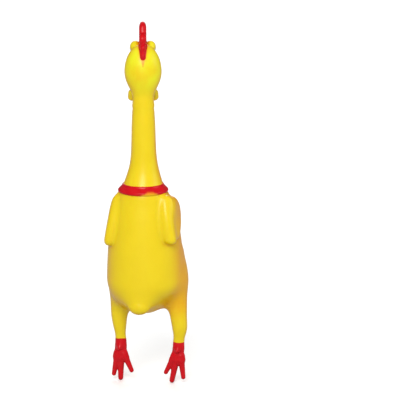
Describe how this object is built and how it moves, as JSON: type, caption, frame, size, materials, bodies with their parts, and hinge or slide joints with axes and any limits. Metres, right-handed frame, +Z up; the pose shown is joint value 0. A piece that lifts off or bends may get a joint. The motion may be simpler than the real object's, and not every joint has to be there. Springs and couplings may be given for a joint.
{
  "type": "rubber chicken",
  "caption": "Hollow soft-vinyl toy chicken standing upright, with a bending neck, floppy legs and wings, and a squeaker in its open beak.",
  "frame": {"origin": "on the ground plane at the toe tips, midway across and midway front to back", "axes": "+Z up from toes to comb, the body faces -Y, its left side is +X, and the head is turned 15 degrees to its left"},
  "size_m": [0.086, 0.0857, 0.4],
  "materials": {
    "yellow_vinyl": "smooth satin soft vinyl",
    "red_paint": "satin red paint on soft vinyl",
    "orange_paint": "satin orange paint on soft vinyl",
    "eye_paint": "glossy white paint with a dark pupil",
    "squeaker_plastic": "moulded off-white plastic",
    "reed_film": "thin smooth film"
  },
  "bodies": {
    "torso": {"torso": "yellow_vinyl", "tail": "yellow_vinyl", "collar": "red_paint"},
    "belly": {"belly_panel": "yellow_vinyl"},
    "neck_lower": {"neck_lower": "yellow_vinyl"},
    "neck_middle": {"neck_middle": "yellow_vinyl"},
    "neck_upper": {"neck_upper": "yellow_vinyl"},
    "head": {"head": "yellow_vinyl", "upper_beak": "orange_paint", "mouth_lining": "red_paint", "left_eye": "eye_paint", "right_eye": "eye_paint", "squeaker_body": "squeaker_plastic", "squeaker_cap": "squeaker_plastic", "reed_channel": "squeaker_plastic", "reed_wedge": "squeaker_plastic"},
    "reed": {"squeaker_reed": "reed_film"},
    "jaw": {"lower_beak": "orange_paint", "tongue": "red_paint"},
    "comb": {"comb": "red_paint"},
    "left_wattle": {"left_wattle": "red_paint"},
    "right_wattle": {"right_wattle": "red_paint"},
    "left_wing": {"left_wing": "yellow_vinyl"},
    "right_wing": {"right_wing": "yellow_vinyl"},
    "left_leg": {"left_leg": "yellow_vinyl"},
    "right_leg": {"right_leg": "yellow_vinyl"},
    "left_foot": {"left_foot": "red_paint"},
    "right_foot": {"right_foot": "red_paint"}
  },
  "joints": [
    {"name": "belly_squeeze", "type": "slide", "parent": "torso", "child": "belly", "axis": [0, 1, 0], "range_m": [0, 0.012], "stiffness_N_per_m": 150},
    {"name": "neck_nod", "type": "hinge", "parent": "torso", "child": "neck_lower", "pos_m": [0, 0.008, 0.2235], "axis": [1, 0, 0], "range_deg": [-25, 25], "stiffness_Nm_per_rad": 0.3},
    {"name": "neck_sway", "type": "hinge", "parent": "neck_lower", "child": "neck_middle", "pos_m": [0, 0.008, 0.2525], "axis": [0, 1, 0], "range_deg": [-30, 30], "stiffness_Nm_per_rad": 0.2},
    {"name": "neck_twist", "type": "hinge", "parent": "neck_middle", "child": "neck_upper", "pos_m": [0, 0.008, 0.2775], "axis": [0, 0, 1], "range_deg": [-55, 25], "stiffness_Nm_per_rad": 0.1},
    {"name": "head_nod", "type": "hinge", "parent": "neck_upper", "child": "head", "pos_m": [0, 0.008, 0.3], "axis": [0.9659, 0.2588, 0], "range_deg": [-25, 35], "stiffness_Nm_per_rad": 0.15},
    {"name": "jaw_open", "type": "hinge", "parent": "head", "child": "jaw", "pos_m": [0.00311, -0.00359, 0.345], "axis": [0.9659, 0.2588, 0], "range_deg": [-15, 10], "stiffness_Nm_per_rad": 0.02},
    {"name": "comb_wobble", "type": "hinge", "parent": "head", "child": "comb", "pos_m": [0.00052, 0.00607, 0.374], "axis": [-0.2588, 0.9659, 0], "range_deg": [-15, 15], "stiffness_Nm_per_rad": 0.02},
    {"name": "left_wattle_swing", "type": "hinge", "parent": "head", "child": "left_wattle", "pos_m": [0.0117, -0.00284, 0.325], "axis": [-0.2588, 0.9659, 0], "range_deg": [-15, 15], "stiffness_Nm_per_rad": 0.002},
    {"name": "right_wattle_swing", "type": "hinge", "parent": "head", "child": "right_wattle", "pos_m": [-0.00472, -0.00724, 0.325], "axis": [-0.2588, 0.9659, 0], "range_deg": [-15, 15], "stiffness_Nm_per_rad": 0.002},
    {"name": "reed_flutter", "type": "hinge", "parent": "head", "child": "reed", "pos_m": [-0.00142, 0.01331, 0.34695], "axis": [-0.9659, -0.2588, 0], "range_deg": [-1.5, 3]},
    {"name": "left_wing_flap", "type": "hinge", "parent": "torso", "child": "left_wing", "pos_m": [0.029, 0.012, 0.209], "axis": [0, -1, 0], "range_deg": [0, 25], "stiffness_Nm_per_rad": 0.02},
    {"name": "right_wing_flap", "type": "hinge", "parent": "torso", "child": "right_wing", "pos_m": [-0.029, 0.012, 0.209], "axis": [0, 1, 0], "range_deg": [0, 25], "stiffness_Nm_per_rad": 0.02},
    {"name": "left_hip_swing", "type": "hinge", "parent": "torso", "child": "left_leg", "pos_m": [0.0325, -0.007, 0.088], "axis": [1, 0, 0], "range_deg": [-35, 35], "stiffness_Nm_per_rad": 0.03},
    {"name": "right_hip_swing", "type": "hinge", "parent": "torso", "child": "right_leg", "pos_m": [-0.0325, -0.007, 0.088], "axis": [1, 0, 0], "range_deg": [-35, 35], "stiffness_Nm_per_rad": 0.03},
    {"name": "left_ankle_flex", "type": "hinge", "parent": "left_leg", "child": "left_foot", "pos_m": [0.0325, -0.007, 0.046], "axis": [1, 0, 0], "range_deg": [-50, 20], "stiffness_Nm_per_rad": 0.01},
    {"name": "right_ankle_flex", "type": "hinge", "parent": "right_leg", "child": "right_foot", "pos_m": [-0.0325, -0.007, 0.046], "axis": [1, 0, 0], "range_deg": [-50, 20], "stiffness_Nm_per_rad": 0.01}
  ]
}
